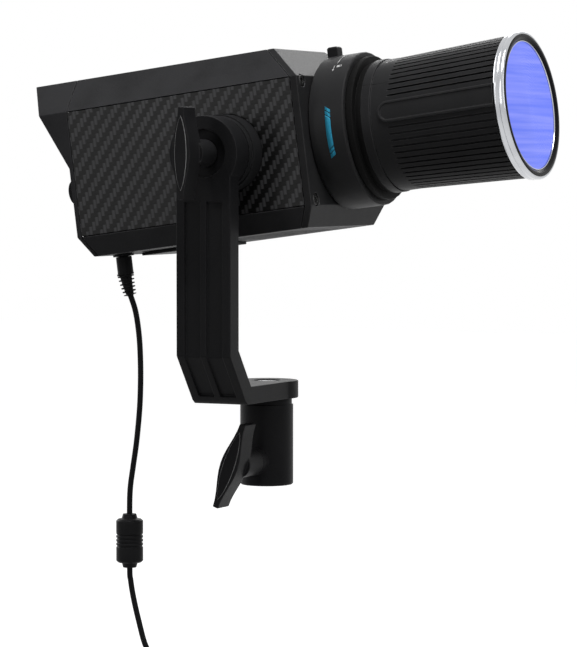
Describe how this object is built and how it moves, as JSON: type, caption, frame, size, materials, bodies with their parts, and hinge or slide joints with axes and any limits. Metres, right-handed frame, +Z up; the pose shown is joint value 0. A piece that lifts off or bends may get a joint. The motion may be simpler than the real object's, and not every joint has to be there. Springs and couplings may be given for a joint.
{
  "type": "fresnel spotlight",
  "caption": "Compact spotlight head with a zooming fresnel lens barrel, tilting on a one-armed yoke over a stand receiver, with a power lead.",
  "frame": {"origin": "centre of the blind end of the receiver's bore, on the spigot's axis, where the light rests on its spigot; the tilt pivot is 160 mm above it", "axes": "+Z up along the spigot's axis; +X the way the light points when level; -Y the side that the yoke's arm is on"},
  "size_m": [0.327, 0.1718, 0.515],
  "materials": {
    "charcoal_paint": "fine-textured matte charcoal paint",
    "carbon_weave": "satin twill-weave laminate",
    "black_plastic": "fine-grained matte",
    "black_rubber": "matte",
    "black_alloy": "black anodised",
    "black_chrome": "bright edge",
    "steel": "plain",
    "bare_alloy": "bare",
    "lens_glass": "stepped fresnel lens, lit blue-violet",
    "screen_glass": "dark screen",
    "circuit_board": "solder-masked board",
    "led_ceramic": "ceramic and phosphor",
    "fibre_washer": "fibre"
  },
  "bodies": {
    "yoke": {"yoke_arm": "black_plastic", "receiver_socket": "black_alloy", "receiver_bolt": "steel", "friction_washer": "fibre_washer", "cord_upper": "black_rubber", "ferrite_bead": "black_plastic", "cord_lower": "black_rubber", "cord_coil": "black_rubber", "coil_tie": "black_rubber", "cord_tail": "black_rubber", "line_connector": "black_plastic"},
    "head": {"body_shell": "charcoal_paint", "front_bezel": "charcoal_paint", "side_panel_near": "carbon_weave", "side_panel_far": "carbon_weave", "rear_cover": "black_plastic", "control_fascia": "black_plastic", "display_window": "screen_glass", "control_board": "circuit_board", "bezel_screw_1": "steel", "bezel_screw_2": "steel", "bezel_screw_3": "steel", "bezel_screw_4": "steel", "heat_sink": "bare_alloy", "led_module": "led_ceramic", "reflector": "bare_alloy", "fan_frame": "black_plastic", "driver_board": "circuit_board", "foot_plate": "steel", "tilt_boss": "black_plastic", "mount_ring": "black_alloy", "dc_inlet": "black_plastic", "dc_plug": "black_plastic", "strain_relief": "black_rubber"},
    "fan": {"fan_rotor": "black_plastic"},
    "near_knob": {"knob_near": "black_rubber"},
    "far_knob": {"knob_far": "black_rubber"},
    "key_1": {"menu_key_1": "black_rubber"},
    "key_2": {"menu_key_2": "black_rubber"},
    "key_3": {"menu_key_3": "black_rubber"},
    "key_4": {"menu_key_4": "black_rubber"},
    "key_power": {"power_key": "black_rubber"},
    "release": {"release_button": "black_alloy"},
    "lens_unit": {"lens_tube": "black_alloy"},
    "barrel": {"zoom_barrel": "black_rubber", "barrel_pad_near": "black_rubber", "barrel_pad_far": "black_rubber", "front_ring": "black_chrome", "fresnel_lens": "lens_glass"},
    "tilt_clamp": {"tilt_handle": "black_plastic", "tilt_bolt": "steel"},
    "spigot_clamp": {"clamp_handle": "black_plastic", "clamp_stud": "steel"}
  },
  "joints": [
    {"name": "head_tilt", "type": "hinge", "parent": "yoke", "child": "head", "pos_m": [0, 0, 0.16], "axis": [0, -1, 0], "range_deg": [-60, 60], "deforming": ["cord_upper"]},
    {"name": "fan_spin", "type": "hinge", "parent": "head", "child": "fan", "pos_m": [-0.05453, 0, 0.15282], "axis": [0.9914, 0, 0.1305], "continuous": true},
    {"name": "near_knob_turn", "type": "hinge", "parent": "head", "child": "near_knob", "pos_m": [-0.10481, -0.04, 0.13712], "axis": [-0.9914, 0, -0.1305], "continuous": true},
    {"name": "far_knob_turn", "type": "hinge", "parent": "head", "child": "far_knob", "pos_m": [-0.10481, 0.04, 0.13712], "axis": [-0.9914, 0, -0.1305], "continuous": true},
    {"name": "key_1_press", "type": "slide", "parent": "head", "child": "key_1", "axis": [0.9914, 0, 0.1305], "range_m": [0, 0.001], "stiffness_N_per_m": 400, "springref_m": -0.001},
    {"name": "key_2_press", "type": "slide", "parent": "head", "child": "key_2", "axis": [0.9914, 0, 0.1305], "range_m": [0, 0.001], "stiffness_N_per_m": 400, "springref_m": -0.001},
    {"name": "key_3_press", "type": "slide", "parent": "head", "child": "key_3", "axis": [0.9914, 0, 0.1305], "range_m": [0, 0.001], "stiffness_N_per_m": 400, "springref_m": -0.001},
    {"name": "key_4_press", "type": "slide", "parent": "head", "child": "key_4", "axis": [0.9914, 0, 0.1305], "range_m": [0, 0.001], "stiffness_N_per_m": 400, "springref_m": -0.001},
    {"name": "power_press", "type": "slide", "parent": "head", "child": "key_power", "axis": [0.9914, 0, 0.1305], "range_m": [0, 0.001], "stiffness_N_per_m": 500, "springref_m": -0.001},
    {"name": "release_press", "type": "slide", "parent": "head", "child": "release", "axis": [0.1305, 0, -0.9914], "range_m": [0, 0.0025], "stiffness_N_per_m": 600, "springref_m": -0.001},
    {"name": "bayonet_turn", "type": "hinge", "parent": "head", "child": "lens_unit", "pos_m": [0.05874, 0, 0.17348], "axis": [0.9914, 0, 0.1305], "range_deg": [0, 33]},
    {"name": "barrel_slide", "type": "slide", "parent": "lens_unit", "child": "barrel", "axis": [0.9914, 0, 0.1305], "range_m": [0, 0.022]},
    {"name": "tilt_clamp_turn", "type": "hinge", "parent": "yoke", "child": "tilt_clamp", "pos_m": [0, -0.1, 0.16], "axis": [0, -1, 0], "continuous": true},
    {"name": "spigot_clamp_turn", "type": "hinge", "parent": "yoke", "child": "spigot_clamp", "pos_m": [0, -0.04, -0.031], "axis": [0, -1, 0], "continuous": true}
  ]
}
